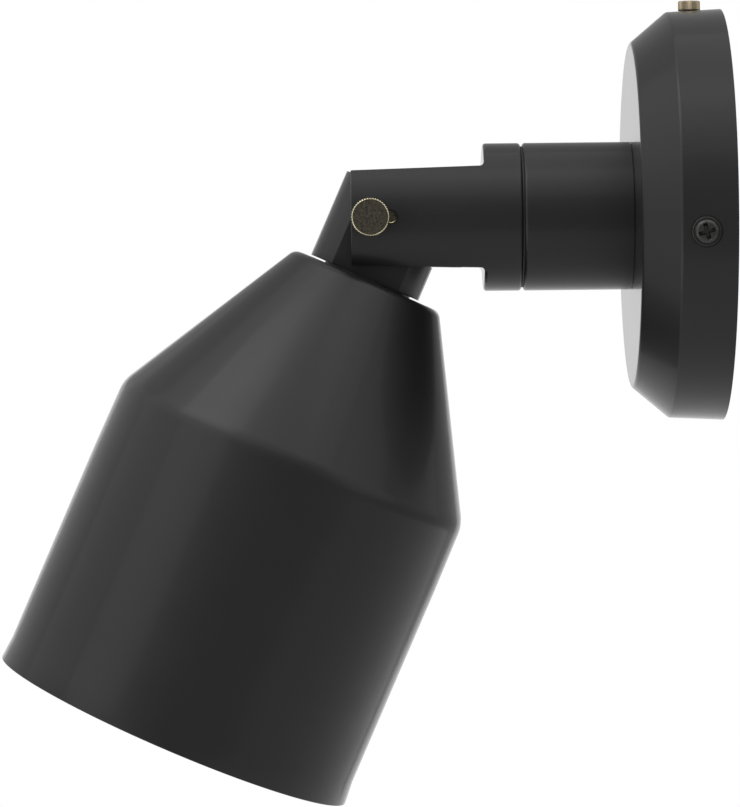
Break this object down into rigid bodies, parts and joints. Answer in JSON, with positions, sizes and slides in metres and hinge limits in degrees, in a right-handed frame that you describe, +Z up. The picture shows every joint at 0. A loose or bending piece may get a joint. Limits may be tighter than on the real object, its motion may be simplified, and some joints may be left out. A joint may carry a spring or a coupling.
{
  "type": "pivoting wall spotlight",
  "caption": "Black wall spotlight: a bevelled round canopy, a short swivelling arm with a fork, and a cone-topped shade that tilts on a knuckle and is held by a brass thumb screw.",
  "frame": {"origin": "centre of the canopy's back, on the wall plane", "axes": "+Y into the wall, so the light stands out along -Y; +Z up; +X to the right of someone at the wall's face who looks at the light, the side that the thumb screw is on; the tilt axis runs along X"},
  "size_m": [0.1294, 0.224, 0.2477],
  "materials": {
    "black_coat": "satin",
    "shade_coat": "satin",
    "zinc": "brushed",
    "brass": "brushed",
    "dark_brass": "satin",
    "green_screw": "satin",
    "phenolic": "satin",
    "nylon": "satin",
    "steatite": "matte",
    "black_lead": "satin",
    "white_lead": "satin",
    "green_lead": "satin",
    "orange_cap": "satin",
    "frosted_glass": "satin",
    "bulb_metal": "brushed"
  },
  "bodies": {
    "wall_base": {"mounting_strap": "zinc", "ground_screw": "green_screw", "canopy": "black_coat", "canopy_screws": "black_coat", "switch_housing": "phenolic", "switch_bush": "dark_brass", "switch_nut": "dark_brass", "arm_tube": "black_coat", "arm_plug": "zinc", "arm_nipple": "zinc", "ground_tag": "brass", "arm_lock_washer": "zinc", "arm_nut": "brass", "nipple_bushing": "nylon", "line_lead": "black_lead", "neutral_lead": "white_lead", "switch_lead": "black_lead", "ground_lead": "green_lead", "wire_connectors": "orange_cap", "swivel_stop_pin": "zinc"},
    "switch_turn": {"switch_shaft": "brass", "switch_knob": "brass"},
    "swivel": {"swivel_fork": "black_coat", "swivel_washer": "nylon", "swivel_rear_washer": "zinc", "swivel_spring_washer": "zinc", "swivel_nut": "zinc", "lead_sleeve": "nylon", "fork_leads": "white_lead", "pivot_pin": "dark_brass"},
    "locking_screw": {"lock_screw": "brass"},
    "head": {"knuckle": "black_coat", "pivot_washers": "nylon", "head_nipple": "zinc", "shade_washer": "shade_coat", "shade": "shade_coat", "shade_plate": "zinc", "shade_lock_washer": "zinc", "shade_nut": "brass", "holder_cap": "phenolic", "holder_body": "steatite", "holder_shell": "brass", "holder_contact": "brass", "terminal_screws": "brass", "head_leads": "white_lead", "bulb_glass": "frosted_glass", "bulb_shell": "bulb_metal", "bulb_insulator": "phenolic", "bulb_contact": "bulb_metal"}
  },
  "joints": [
    {"name": "swivel_turn", "type": "hinge", "parent": "wall_base", "child": "swivel", "pos_m": [0, -0.0615, 0], "axis": [0, 1, 0], "range_deg": [-165, 165]},
    {"name": "head_tilt", "type": "hinge", "parent": "swivel", "child": "head", "pos_m": [0, -0.1022, 0], "axis": [1, 0, 0], "range_deg": [-96, 23.9]},
    {"name": "lock_screw_turn", "type": "hinge", "parent": "swivel", "child": "locking_screw", "pos_m": [0.0265, -0.1085, 0], "axis": [1, 0, 0], "range_deg": [0, 360]},
    {"name": "switch_knob_turn", "type": "hinge", "parent": "wall_base", "child": "switch_turn", "pos_m": [0, -0.0091, 0.0648], "axis": [0, 0, 1], "continuous": true}
  ]
}
